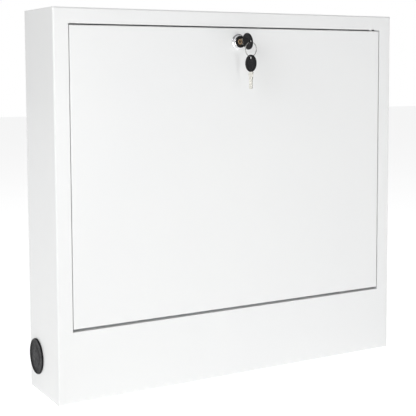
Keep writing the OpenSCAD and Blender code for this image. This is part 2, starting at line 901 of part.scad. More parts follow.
casing();
back_panel();
rail_upper();
rail_lower();
bracket_left();
bracket_right();
bracket_bolts();
slide_nuts();
clamp_base_supply_left();
clamp_base_supply_right();
clamp_base_return_left();
clamp_base_return_right();
clamp_cap_supply_left();
clamp_cap_supply_right();
clamp_cap_return_left();
clamp_cap_return_right();
clamp_screws();
supply_bar();
return_bar();
supply_outlets();
return_outlets();
flow_glasses();
flow_ring(0);  // flow_ring_1
flow_ring(1);  // flow_ring_2
flow_ring(2);  // flow_ring_3
flow_ring(3);  // flow_ring_4
flow_ring(4);  // flow_ring_5
valve_inserts();
valve_cap(0);  // valve_cap_1
valve_cap(1);  // valve_cap_2
valve_cap(2);  // valve_cap_3
valve_cap(3);  // valve_cap_4
valve_cap(4);  // valve_cap_5
ball_valve_supply();
ball_valve_return();
valve_ball_supply();
valve_ball_return();
valve_handle_supply();
valve_handle_return();
end_piece_supply();
end_piece_return();
air_vents();
drain_cocks();
door();
door_pins();
lock_housing();
lock_face();
lock_nut();
lock_core();
cam();
cam_screw();
key_head_1();
key_blade_1();
key_ring();
key_head_2();
key_blade_2();
side_plug_left();
side_plug_right();
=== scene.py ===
"""Looks of a surface-mounted manifold cabinet: materials, fine pieces, light and camera."""
import json
import math

import bmesh
import bpy
from mathutils import Euler, Matrix, Vector


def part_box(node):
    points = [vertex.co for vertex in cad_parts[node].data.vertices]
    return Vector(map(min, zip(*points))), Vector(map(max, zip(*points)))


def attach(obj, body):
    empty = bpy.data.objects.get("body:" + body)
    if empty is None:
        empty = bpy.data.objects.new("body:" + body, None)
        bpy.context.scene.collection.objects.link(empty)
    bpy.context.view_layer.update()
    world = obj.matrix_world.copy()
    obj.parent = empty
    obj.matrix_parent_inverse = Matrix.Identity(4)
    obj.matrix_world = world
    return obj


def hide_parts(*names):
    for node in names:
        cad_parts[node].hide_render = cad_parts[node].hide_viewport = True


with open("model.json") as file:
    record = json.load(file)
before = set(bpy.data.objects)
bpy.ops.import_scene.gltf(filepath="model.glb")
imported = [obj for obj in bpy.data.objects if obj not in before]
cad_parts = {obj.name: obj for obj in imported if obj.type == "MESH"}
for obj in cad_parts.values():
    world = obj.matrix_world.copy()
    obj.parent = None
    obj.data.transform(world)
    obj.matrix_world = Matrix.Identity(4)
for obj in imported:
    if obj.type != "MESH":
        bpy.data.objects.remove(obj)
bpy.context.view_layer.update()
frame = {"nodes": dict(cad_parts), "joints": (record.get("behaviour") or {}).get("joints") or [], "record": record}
nodes = frame["nodes"]
MM = 0.001
LOOPS = range(1, 6)


# ---------- Camera, light and floor ----------

CAMERA_PLACE = (-0.8053, -1.434, 0.4866)
CAMERA_DOWN, CAMERA_ROLL, CAMERA_TURN = 4.59, 0.24, -29.73
FLOOR_WIDTH, FLOOR_GAP = 18, 0.0005


def make_camera():
    """The photograph's view. It was fitted to the cabinet's corners, so its numbers aren't round."""
    data = bpy.data.cameras.new("camera")
    data.lens = 84.3
    data.sensor_width = 36
    data.shift_y = -0.139
    camera = bpy.data.objects.new("camera", data)
    camera.location = CAMERA_PLACE
    camera.rotation_euler = Euler(math.radians(a) for a in (90 - CAMERA_DOWN, CAMERA_ROLL, CAMERA_TURN))
    bpy.context.scene.collection.objects.link(camera)
    bpy.context.scene.camera = camera


def area_light(name, place, target, size, power):
    data = bpy.data.lights.new(name, "AREA")
    data.shape = "SQUARE"
    data.size = size
    data.energy = power
    light = bpy.data.objects.new(name, data)
    light.location = place
    light.rotation_euler = (Vector(target) - Vector(place)).to_track_quat("-Z", "Y").to_euler()
    bpy.context.scene.collection.objects.link(light)


def make_world():
    """Faint light from all round. The camera itself sees plain white."""
    world = bpy.data.worlds.new("studio")
    bpy.context.scene.world = world
    world.use_nodes = True
    tree = world.node_tree
    soft = tree.nodes["Background"]
    soft.inputs["Color"].default_value = (0.985, 0.99, 1.0, 1)
    soft.inputs["Strength"].default_value = 0.18
    seen = tree.nodes.new("ShaderNodeBackground")
    seen.inputs["Color"].default_value = (1, 1, 1, 1)
    seen.inputs["Strength"].default_value = 1.0
    path = tree.nodes.new("ShaderNodeLightPath")
    mix = tree.nodes.new("ShaderNodeMixShader")
    tree.links.new(path.outputs["Is Camera Ray"], mix.inputs["Fac"])
    tree.links.new(soft.outputs["Background"], mix.inputs[1])
    tree.links.new(seen.outputs["Background"], mix.inputs[2])
    tree.links.new(mix.outputs["Shader"], tree.nodes["World Output"].inputs["Surface"])


def make_studio():
    bpy.context.scene.view_settings.view_transform = "Standard"
    make_world()
    area_light("key", (-2.4, -1.4, 1.4), (0, -0.1, 0.3), 1.6, 33)
    area_light("top", (0.1, -0.3, 2.6), (0.1, -0.2, 0), 2.4, 13)
    area_light("front", (0.06, -2.1, 0.3), (0, -0.1, 0.4), 0.45, 8)
    half = FLOOR_WIDTH / 2
    mesh = bpy.data.meshes.new("floor")
    corners = [(-half, -half, 0), (half, -half, 0), (half, half, 0), (-half, half, 0)]
    mesh.from_pydata(corners, [], [(0, 1, 2, 3)])
    floor = bpy.data.objects.new("floor", mesh)
    floor.location.z = -FLOOR_GAP
    bpy.context.scene.collection.objects.link(floor)
    mesh.materials.append(floor_material())


# ---------- Materials ----------

class Surface:
    """A material with object coordinates, to which colour, roughness and bump detail are added."""

    def __init__(self, name, colour, roughness, metallic=0.0, **sockets):
        self.material = bpy.data.materials.new(name)
        self.material.use_nodes = True
        self.material.diffuse_color = (*colour, 1)
        self.tree = self.material.node_tree
        self.shader = self.tree.nodes["Principled BSDF"]
        self.shader.inputs["Base Color"].default_value = (*colour, 1)
        self.shader.inputs["Roughness"].default_value = roughness
        self.shader.inputs["Metallic"].default_value = metallic
        for socket, value in sockets.items():
            self.shader.inputs[socket.replace("_", " ")].default_value = value
        self.place = self.node("ShaderNodeTexCoord").outputs["Object"]
        self.colour, self.roughness = colour, roughness
        self.normal = None

    def node(self, kind, **values):
        made = self.tree.nodes.new(kind)
        for key, value in values.items():
            setattr(made, key, value)
        return made

    def link(self, source, target):
        self.tree.links.new(source, target)

    def stretched(self, scale):
        mapping = self.node("ShaderNodeMapping")
        mapping.inputs["Scale"].default_value = scale
        self.link(self.place, mapping.inputs["Vector"])
        return mapping.outputs["Vector"]

    def noise(self, scale, detail=4.0, stretch=None):
        made = self.node("ShaderNodeTexNoise")
        made.inputs["Scale"].default_value = scale
        made.inputs["Detail"].default_value = detail
        self.link(self.stretched(stretch) if stretch else self.place, made.inputs["Vector"])
        return made.outputs["Fac"]

    def ramp(self, source, low, high, low_at=0.3, high_at=0.7):
        made = self.node("ShaderNodeMapRange")
        made.inputs["From Min"].default_value = low_at
        made.inputs["From Max"].default_value = high_at
        made.inputs["To Min"].default_value = low
        made.inputs["To Max"].default_value = high
        self.link(source, made.inputs["Value"])
        return made.outputs["Result"]

    def vary_colour(self, source, other, low=0.3, high=0.7):
        """Blends the base colour towards another one where the source is high."""
        mix = self.node("ShaderNodeMix", data_type="RGBA")
        current = self.shader.inputs["Base Color"]
        if current.links:
            self.link(current.links[0].from_socket, mix.inputs[6])
        else:
            mix.inputs[6].default_value = (*self.colour, 1)
        mix.inputs[7].default_value = (*other, 1)
        self.link(self.ramp(source, 0, 1, low, high), mix.inputs["Factor"])
        self.link(mix.outputs[2], current)

    def vary_roughness(self, source, low, high):
        self.link(self.ramp(source, low, high), self.shader.inputs["Roughness"])

    def bump(self, source, depth, strength=1.0):
        made = self.node("ShaderNodeBump")
        made.inputs["Distance"].default_value = depth
        made.inputs["Strength"].default_value = strength
        self.link(source, made.inputs["Height"])
        if self.normal:
            self.link(self.normal, made.inputs["Normal"])
        self.normal = made.outputs["Normal"]
        self.link(self.normal, self.shader.inputs["Normal"])

    def round_edges(self, radius):
        made = self.node("ShaderNodeBevel", samples=6)
        made.inputs["Radius"].default_value = radius
        self.normal = made.outputs["Normal"]
        self.link(self.normal, self.shader.inputs["Normal"])


def floor_material():
    s = Surface("floor_white", (0.9, 0.9, 0.9), 0.6, Emission_Strength=0.75, Emission_Color=(1, 1, 1, 1))
    s.vary_colour(s.noise(3), (0.88, 0.88, 0.88))
    return s.material


def powder_coat():
    """Smooth white powder coat: fine orange peel, and the faintest unevenness of tone and gloss."""
    s = Surface("powder_coat", (0.80, 0.805, 0.80), 0.38, Coat_Weight=0.15, Coat_Roughness=0.2)
    s.round_edges(0.0007)
    s.vary_colour(s.noise(4, 3), (0.785, 0.79, 0.79))
    s.vary_roughness(s.noise(60, 4), 0.33, 0.43)
    s.bump(s.noise(650, 2), 0.00002, 0.5)
    s.bump(s.noise(90, 2), 0.00006, 0.35)
    return s.material


def galvanised():
    """Hot-dip zinc: crystal spangle in tone and gloss, with faint rolling marks."""
    s = Surface("galvanised_sheet", (0.56, 0.58, 0.6), 0.42, 0.85)
    spangle = s.node("ShaderNodeTexVoronoi")
    spangle.inputs["Scale"].default_value = 95
    s.link(s.place, spangle.inputs["Vector"])
    s.round_edges(0.0004)
    s.vary_colour(spangle.outputs["Distance"], (0.68, 0.7, 0.72), 0.1, 0.8)
    s.vary_colour(s.noise(12, 5), (0.5, 0.51, 0.53), 0.55, 0.85)
    s.vary_roughness(spangle.outputs["Distance"], 0.34, 0.55)
    s.bump(s.noise(30, 6, (1, 1, 30)), 0.00003, 0.5)
    return s.material


def plated_steel(name, colour, roughness):
    """Zinc or nickel plated small parts with fine scuffs."""
    s = Surface(name, colour, roughness, 1.0)
    s.round_edges(0.0003)
    s.vary_colour(s.noise(160, 5), tuple(0.82 * c for c in colour), 0.45, 0.8)
    s.vary_roughness(s.noise(420, 6), roughness * 0.75, roughness * 1.35)
    s.bump(s.noise(900, 4), 0.000008, 0.6)
    return s.material


def brushed_tube():
    """Stainless tube with brushing lines along X."""
    s = Surface("stainless_tube", (0.66, 0.66, 0.67), 0.28, 1.0, Anisotropic=0.5)
    s.round_edges(0.0005)
    lines = s.noise(900, 6, (0.02, 1, 1))
    s.vary_colour(lines, (0.56, 0.565, 0.58))
    s.vary_roughness(lines, 0.2, 0.42)
    s.bump(lines, 0.000012, 0.5)
    s.bump(s.noise(25, 4), 0.00006, 0.25)
    return s.material


def plastic(name, colour, roughness, grain=900, depth=0.000015, gloss=0.5):
    """Moulded plastic with a fine grain, slightly duller and lighter where it is handled."""
    s = Surface(name, colour, roughness, Specular_IOR_Level=gloss)
    s.round_edges(0.0004)
    s.vary_colour(s.noise(120, 5), tuple(min(1, 1.3 * c + 0.002) for c in colour), 0.5, 0.85)
    s.vary_roughness(s.noise(260, 5), roughness * 0.8, min(1, roughness * 1.25))
    s.bump(s.noise(grain, 3), depth, 0.6)
    return s.material


def clear_plastic():
    s = Surface("clear_tube", (0.93, 0.97, 0.98), 0.06, Transmission_Weight=0.95, IOR=1.3)
    s.vary_roughness(s.noise(200, 4), 0.03, 0.1)
    s.bump(s.noise(140, 2), 0.00002, 0.3)
    return s.material


MATERIALS = {
    "white_powder": powder_coat(),
    "galvanised": galvanised(),
    "zinc_steel": plated_steel("zinc_plate", (0.62, 0.61, 0.56), 0.32),
    "stainless": brushed_tube(),
    "nickel_brass": plated_steel("nickel_plate", (0.66, 0.64, 0.59), 0.22),
    "brass": plated_steel("brass", (0.62, 0.43, 0.28), 0.24),
    "chrome": plated_steel("chrome", (0.78, 0.78, 0.8), 0.08),
    "clamp_plastic": plastic("clamp_plastic", (0.03, 0.032, 0.035), 0.5),
    "clear_tube": clear_plastic(),
    "red_plastic": plastic("red_plastic", (0.5, 0.02, 0.015), 0.32),
    "blue_plastic": plastic("blue_plastic", (0.012, 0.06, 0.3), 0.32),
    "black_plastic": plastic("black_plastic", (0.006, 0.006, 0.0075), 0.5, gloss=0.24),
    "lock_face": plastic("lock_face_black", (0.007, 0.006, 0.0055), 0.4, gloss=0.25),
    "key_black": plastic("key_black", (0.004, 0.004, 0.0055), 0.42, gloss=0.2),
    "key_metal": plated_steel("key_nickel", (0.9, 0.88, 0.82), 0.26),
}
SLOT_OF = {s["node"]: s["material_slot"] for s in frame["record"]["subparts"]}
BODY_OF = {node: body for body, held in frame["record"]["behaviour"]["bodies"].items() for node in held}


def paint_nodes():
    for name, node in nodes.items():
        node.data.materials.clear()
        node.data.materials.append(MATERIALS[SLOT_OF[name]])


# ---------- Mesh tools ----------

def placed(point, axis, side=(1, 0, 0)):
    """Matrix that takes the origin to the point, +Z to the axis and +X towards the side."""
    z = Vector(axis).normalized()
    y = z.cross(Vector(side)).normalized()
    turn = Matrix((y.cross(z), y, z)).transposed().to_4x4()
    return Matrix.Translation(point) @ turn


def lathe(mesh, matrix, rings, segments=48, closed=False):
    """Adds rings of (height, radius[, shift]) in millimetres to the mesh. A radius may depend on the angle,
    and a shift moves a ring's centre along Y. A closed profile is a tube. An open one is closed by faces on
    its first and last ring."""
    loops = []
    for ring in rings:
        height, radius, shift = (*ring, 0)[:3]
        loop = []
        for i in range(segments):
            angle = 2 * math.pi * i / segments
            r = radius(angle) if callable(radius) else radius
            point = Vector((r * math.cos(angle), r * math.sin(angle) + shift, height)) * MM
            loop.append(mesh.verts.new(matrix @ point))
        loops.append(loop)
    faces = []
    for low, high in zip(loops, loops[1:] + (loops[:1] if closed else [])):
        for i in range(segments):
            j = (i + 1) % segments
            faces.append(mesh.faces.new((low[i], low[j], high[j], high[i])))
    if not closed:
        faces += [mesh.faces.new(loops[0]), mesh.faces.new(loops[-1])]
    bmesh.ops.recalc_face_normals(mesh, faces=faces)
    for face in faces:
        face.smooth = True


def hexagon(corner, limit=None):
    """Radius of a hexagon at an angle, cut to a circle where a limit is given."""
    flat = corner * math.cos(math.pi / 6)

    def radius(angle):
        r = flat / math.cos(angle % (math.pi / 3) - math.pi / 6)
        return min(r, limit) if limit else r
    return radius


def hex_rings(start, end, corner):
    """A hexagon's rings with turned chamfers at both ends."""
    flat = corner * math.cos(math.pi / 6)
    cuts = [(0, flat * 0.985), (0.25, flat * 1.02), (0.55, flat * 1.06), (0.95, flat * 1.11), (1.5, corner)]
    low = [(start + d, hexagon(corner, limit)) for d, limit in cuts]
    high = [(end - d, hexagon(corner, limit)) for d, limit in reversed(cuts)]
    return low + high


def thread_rings(start, end, major, pitch, depth, steps=6):
    """Rings of a helical thread that fades out at both ends."""
    count = int(abs(end - start) / pitch * steps)
    rings = []
    for n in range(count + 1):
        z = start + (end - start) * n / count
        fade = min(1, 2.5 * n / count, 2.5 * (count - n) / count)

        def radius(angle, z=z, fade=fade):
            wave = 0.5 + 0.5 * math.cos(2 * math.pi * z / pitch - angle)
            return major - depth * (1 - fade * wave ** 0.8)
        rings.append((z, radius))
    return rings


def ribbed(base, height, count, sharp=2):
    """Radius with a number of rounded ribs round it."""
    return lambda angle: base + height * abs(math.cos(count * angle / 2)) ** sharp


def made(name, body, slot_name, build, replaced=(), smooth_angle=35):
    """A detailed piece: build fills its mesh, and it rides on the body and stands for the replaced nodes."""
    mesh = bmesh.new()
    build(mesh)
    data = bpy.data.meshes.new(name)
    mesh.to_mesh(data)
    mesh.free()
    data.set_sharp_from_angle(angle=math.radians(smooth_angle))
    piece = bpy.data.objects.new(name, data)
    bpy.context.scene.collection.objects.link(piece)
    data.materials.append(MATERIALS[slot_name])
    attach(piece, body)
    if replaced:
        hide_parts(*replaced)
    return piece


def carve(piece, build):
    """Cuts the mesh that build makes out of the piece."""
    mesh = bmesh.new()
    build(mesh)
    data = bpy.data.meshes.new("cutter")
    mesh.to_mesh(data)
    mesh.free()
    cutter = bpy.data.objects.new("cutter", data)
    bpy.context.scene.collection.objects.link(cutter)
    modifier = piece.modifiers.new("carve", "BOOLEAN")
    modifier.object = cutter
    modifier.solver = "EXACT"
    bpy.context.view_layer.update()
    graph = bpy.context.evaluated_depsgraph_get()
    carved = bpy.data.meshes.new_from_object(piece.evaluated_get(graph))
    piece.modifiers.clear()
    piece.data = carved
    carved.set_sharp_from_angle(angle=math.radians(35))
    bpy.data.objects.remove(cutter)


def block(mesh, matrix, low, high):
    """A box between two corners in millimetres."""
    corners = [matrix @ (Vector((x, y, z)) * MM)
               for x in (low[0], high[0]) for y in (low[1], high[1]) for z in (low[2], high[2])]
    verts = [mesh.verts.new(c) for c in corners]
    faces = [mesh.faces.new([verts[i] for i in quad])
             for quad in ((0, 1, 3, 2), (4, 6, 7, 5), (0, 4, 5, 1), (2, 3, 7, 6), (0, 2, 6, 4), (1, 5, 7, 3))]
    bmesh.ops.recalc_face_normals(mesh, faces=faces)


def sweep(mesh, path, radius, sides=12):
    """A round wire along a path of points in metres."""
    loops = []
    for i, point in enumerate(path):
        ahead = (path[min(i + 1, len(path) - 1)] - path[max(i - 1, 0)]).normalized()
        across = ahead.cross(Vector((0.13, 0.97, 0.2))).normalized()
        other = ahead.cross(across)
        loops.append([mesh.verts.new(point + radius * (math.cos(a) * across + math.sin(a) * other))
                      for a in (2 * math.pi * k / sides for k in range(sides))])
    faces = [mesh.faces.new((a[k], a[(k + 1) % sides], b[(k + 1) % sides], b[k]))
             for a, b in zip(loops, loops[1:]) for k in range(sides)]
    faces += [mesh.faces.new(loops[0]), mesh.faces.new(loops[-1])]
    bmesh.ops.recalc_face_normals(mesh, faces=faces)
    for face in faces:
        face.smooth = True


def middle(node):
    low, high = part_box(node)
    return (low + high) / 2


def reach(node):
    low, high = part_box(node)
    return (high - low) / MM


joints = {j["name"]: j for j in frame["joints"]}


def joint_place(name):
    return Vector(joints[name]["pos_m"])


# ---------- Lock and keys ----------

# Key heads, in millimetres as in part.scad: half sizes, the sunk panel, the leans, the eye and the grip ribs.
HEAD_HALF_L, HEAD_HALF_W, HEAD_HALF_T = 13.3, 13, 1.5
PANEL_HALF_L, PANEL_HALF_W, PANEL_DROP, PANEL_DEPTH = 9, 6.5, 2.2, 0.4
KEY_LEAN = math.radians(8)
KEY_2_TURN = math.radians(6)
KEY_HOLE, RIB_PITCH = 8.8, 2.1


def oval(half_x, half_y, power=2.0):
    def radius(angle):
        c, s = abs(math.cos(angle)) / half_x, abs(math.sin(angle)) / half_y
        return (c ** power + s ** power) ** (-1 / power)
    return radius


def key_head(name, body, node, matrix):
    """A moulded bow: rounded edge, sunk oval panel with grip ribs on both faces, and an eye for the ring."""
    w, l, t = HEAD_HALF_W, HEAD_HALF_L, HEAD_HALF_T
    edge = [(t, 1.1), (t - 0.1, 0.55), (t - 0.35, 0.2), (t - 0.75, 0.02)]
    panel = [(t - PANEL_DEPTH, 0.55), (t - PANEL_DEPTH * 0.85, 0.15), (t - 0.04, -0.25), (t, -0.6)]
    half = [(z, oval(PANEL_HALF_W - d, PANEL_HALF_L - d, 2.3), -PANEL_DROP) for z, d in panel]
    half += [(z, oval(w - d, l - d)) for z, d in edge]
    back = [(-z, r, *s) for z, r, *s in half]
    front = [(z, r, *s) for z, r, *s in reversed(half)]

    def build(mesh):
        lathe(mesh, matrix, back + [(0, oval(w, l))] + front, 96)

    head = made(name, body, "key_black", build, (node,), 50)
    eye = matrix @ Matrix.Translation((0, KEY_HOLE * MM, 0))
    flared = [(-3, 3.6), (-1.5, 2.95), (-1.1, 2.7), (1.1, 2.7), (1.5, 2.95), (3, 3.6)]
    carve(head, lambda mesh: lathe(mesh, eye, flared, 40))

    def ribs(mesh):
        for side in (-1, 1):
            z = side * (t - PANEL_DEPTH - 0.05)
            for n in range(-3, 4):
                from_middle = RIB_PITCH * n
                half_width = 4.9 * math.sqrt(1 - (from_middle / 8.6) ** 2)
                path = [matrix @ (Vector((half_width * (k / 4 - 1), from_middle - PANEL_DROP, z)) * MM)
                        for k in range(9)]
                sweep(mesh, path, 0.32 * MM, 8)

    made(name + "_grip", body, "key_black", ribs)


def key_matrix_1():
    axis = joint_place("lock_turn")
    low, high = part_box("key_head_1")
    centre = Vector((0, (low.y + high.y) / 2, axis.z))
    lean = Matrix.Rotation(-KEY_LEAN, 4, "Y")
    return Matrix.Translation(centre) @ lean @ placed((0, 0, 0), (1, 0, 0), (0, 0, 1))


def key_matrix_2():
    turn = Matrix.Rotation(KEY_2_TURN, 4, "Z")
    return Matrix.Translation(middle("key_head_2")) @ turn @ placed((0, 0, 0), (1, 0, 0), (0, 1, 0))


def key_blade_grooves(node, matrix):
    """The CAD blade with a groove milled along each face and a softened outline."""
    blade = bpy.data.objects.new(node + "_milled", nodes[node].data.copy())
    bpy.context.scene.collection.objects.link(blade)
    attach(blade, BODY_OF[node])
    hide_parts(node)

    def grooves(mesh):
        for side in (-1, 1):
            face = side * 1.05
            block(mesh, matrix, (-0.9, -40, face - 0.45), (0.5, -21.6, face + 0.45))
            block(mesh, matrix, (1.6, -40, face - 0.3), (2.1, -22.4, face + 0.3))

    carve(blade, grooves)
    soften(blade, 0.12)


def soften(thing, width, segments=2, angle=40):
    """Rounds the hard edges of an object with real geometry, by a width in millimetres."""
    modifier = thing.modifiers.new("soften", "BEVEL")
    modifier.width = width * MM
    modifier.segments = segments
    modifier.limit_method = "ANGLE"
    modifier.angle_limit = math.radians(angle)
    modifier.harden_normals = True


def split_ring():
    """Two turns of wire side by side, which change places over a short stretch."""
    eye = joint_place("ring_swing")
    far = joint_place("key_2_swing")
    centre = (eye + far) / 2
    radius = (eye - far).length / 2
    across = Vector(joints["ring_swing"]["axis"]).normalized()
    flat = across.cross(Vector((0, 0, 1))).normalized()
    wire, steps, missing_steps, start_angle = 0.46 * MM, 96, 7, 1.1

    def build(mesh):
        path = []
        for n in range(2 * steps - missing_steps):
            angle = 2 * math.pi * n / steps + start_angle
            layer = min(1, max(-1, (n / steps - 1) * 9))
            out = math.cos(angle) * across.cross(flat) + math.sin(angle) * across
            path.append(centre + radius * out.normalized() + layer * wire * 1.02 * flat)
        sweep(mesh, path, wire, 12)

    ring = made("key_ring_wire", "key_ring", "key_metal", build, ("key_ring",), 60)
    ring.data.materials[0] = plated_steel("ring_wire", (0.42, 0.42, 0.41), 0.22)


def lock_details():
    axis = joint_place("lock_turn")
    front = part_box("lock_housing")[0].y
    door_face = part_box("door")[0].y
    matrix = placed((axis.x, front, axis.z), (0, 1, 0))
    drum = (door_face - front) / MM

    def body(mesh):
        bore, core = 4.48, 6.06
        collar = [(3, core), (3, bore), (1.2, bore), (1.2, 9.36), (0.06, 9.36), (0, 9.5), (0, 9.86),
                  (0.12, 10.06), (0.4, 10.2)]
        flange = [(drum - back, r) for back, r in
                  ((2.3, 10.2), (2.08, 10.3), (1.98, 10.6), (1.93, 11.3), (1.75, 11.75), (1.4, 12.05),
                   (0.9, 12.22), (0.4, 12.25), (0, 12.2), (0, 9.4))]
        barrel = thread_rings(drum + 1.6, drum + 13.4, 9.5, 1, 0.45) + [(drum + 14, 8.95), (drum + 14, core)]
        lathe(mesh, matrix, collar + flange + barrel, 72, True)

    made("lock_body", "door", SLOT_OF["lock_housing"], body, ("lock_housing",), 50)

    def face(mesh):
        rings = [(1.15, 4.7), (1.15, 9.3), (0.25, 9.3), (0.07, 9.2), (0, 9), (0, 5.4), (0.08, 5.0),
                 (0.3, 4.75)]
        lathe(mesh, matrix, rings, 72, True)
        for n in range(36):
            turn = matrix @ Matrix.Rotation(2 * math.pi * n / 36, 4, "Z")
            sweep(mesh, [turn @ (Vector((r, 0, 0)) * MM) for r in (8.1, 8.5, 8.9)], 0.14 * MM, 6)

    made("lock_collar", "door", SLOT_OF["lock_face"], face, ("lock_face",), 50)

    lean = matrix @ Matrix.Rotation(-KEY_LEAN, 4, "Z")

    # Two black plates in front of the brass core, leaving a slot for the blade: a dark piece put in the keyway as
    # painted shade for the recess round the key.
    def keyway_shade(mesh):
        for side in (-1, 1):
            outline = [(1.32 * side, -2.8), (1.32 * side, 2.8)]
            outline += [(3.1 * side * math.cos(a), 3.1 * math.sin(a))
                        for a in (math.radians(60 - 15 * k) for k in range(9))]
            low = [mesh.verts.new(lean @ (Vector((x, y, 0.72)) * MM)) for x, y in outline]
            high = [mesh.verts.new(lean @ (Vector((x, y, 0.45)) * MM)) for x, y in outline]
            count = len(outline)
            faces = [mesh.faces.new(low), mesh.faces.new(high)]
            faces += [mesh.faces.new((low[i], low[(i + 1) % count], high[(i + 1) % count], high[i]))
                      for i in range(count)]
            bmesh.ops.recalc_face_normals(mesh, faces=faces)

    made("lock_keyway_shade", "lock_core", "lock_face", keyway_shade)

    nut_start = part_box("lock_nut")[0].y
    nut_place = placed((axis.x, nut_start, axis.z), (0, 1, 0))

    def nut(mesh):
        bore = [(5, 9.9), (4.6, 9.56), (0.4, 9.56), (0, 9.9)]
        lathe(mesh, nut_place, hex_rings(0, 5, 13.9) + bore, 72, True)

    made("lock_hex_nut", "door", SLOT_OF["lock_nut"], nut, ("lock_nut",))

    screw_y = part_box("cam_screw")[1].y
    screw_place = placed((axis.x, screw_y, axis.z), (0, -1, 0))

    def screw(mesh):
        socket = [(0.9, hexagon(1.5)), (0.12, hexagon(1.5)), (0, 2.0)]
        pan = [(0, 3.3), (0.25, 4.2), (0.8, 4.8), (1.5, 5), (2.45, 5)]
        lathe(mesh, screw_place, socket + pan + [(2.45, 2), (6, 2)], 48)

    made("cam_screw_pan", "lock_core", SLOT_OF["cam_screw"], screw, ("cam_screw",))


def key_details():
    for number, matrix in ((1, key_matrix_1()), (2, key_matrix_2())):
        key_head("key_bow_%d" % number, "key_%d" % number, "key_head_%d" % number, matrix)
        key_blade_grooves("key_blade_%d" % number, matrix)
    split_ring()


PLUG_RIM = 27.4


def plug_details():
    for side, direction in (("left", -1), ("right", 1)):
        node = "side_plug_" + side
        wall = direction * reach("casing").x * MM / 2
        matrix = placed((wall, middle(node).y, middle(node).z), (direction, 0, 0), (0, 0, 1))

        def build(mesh):
            skirt = [(0.4, 0.4), (0.4, 22.7), (-8.7, 22.9), (-9, 23.2), (-9, 24.3), (-8.4, 24.7),
                     (-6.2, 24.92), (-3.2, 24.92), (-2.9, 24.6), (-0.4, 24.6), (0, 24.92)]
            bead = [(h, PLUG_RIM - inset) for h, inset in
                    ((0.3, 0.3), (0.55, 0), (1.7, 0), (2.35, 0.25), (2.75, 0.75), (2.9, 1.4), (2.75, 2.1),
                     (2.3, 2.55), (1.95, 2.9), (1.8, 3.6))]
            face = [(1.8, 22.6), (1.72, 22.1), (1.5, 21.8), (1.42, 21.2), (1.42, 14.0), (1.5, 13.4),
                    (1.72, 13.1), (1.8, 12.6), (1.8, 0.4)]
            lathe(mesh, matrix, skirt + bead + face, 96)
            for n in range(4):
                turn = matrix @ Matrix.Rotation(math.pi / 2 * n + math.pi / 4, 4, "Z")
                block(mesh, turn, (22.4, -1.2, -8.5), (24.2, 1.2, 0))

        made("plug_cap_" + side, node, SLOT_OF[node], build, (node,))


# ---------- Manifold ----------

LOOP_THREAD_PITCH, MAINS_THREAD_PITCH = 1.814, 2.309


def loops_of(node):
    """The middles of the five loops, from the flow rings or valve caps that stand over them."""
    return [middle("%s_%d" % (node, n)) for n in LOOPS]


def outlet_details():
    for side, top in (("supply", "flow_ring"), ("return", "valve_cap")):
        node = side + "_outlets"
        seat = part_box(node)[1].z - 5 * MM

        def build(mesh):
            for place in loops_of(top):
                matrix = placed((place.x, place.y, seat), (0, 0, -1))
                outside = [(-4.9, 7.9), (0, 7.9)] + hex_rings(0.02, 6, 15.6) + [(6.05, 12.4), (6.9, 12.3)]
                thread = thread_rings(7, 18.6, 13.2, LOOP_THREAD_PITCH, 0.95) + [(19.6, 12.1), (20, 11.6)]
                inside = [(20, 9.7), (19.7, 9.4), (14, 6.1), (13.5, 6), (-4.9, 6)]
                lathe(mesh, matrix, outside + thread + inside, 72, True)

        made(node + "_turned", "cabinet", SLOT_OF[node], build, (node,))


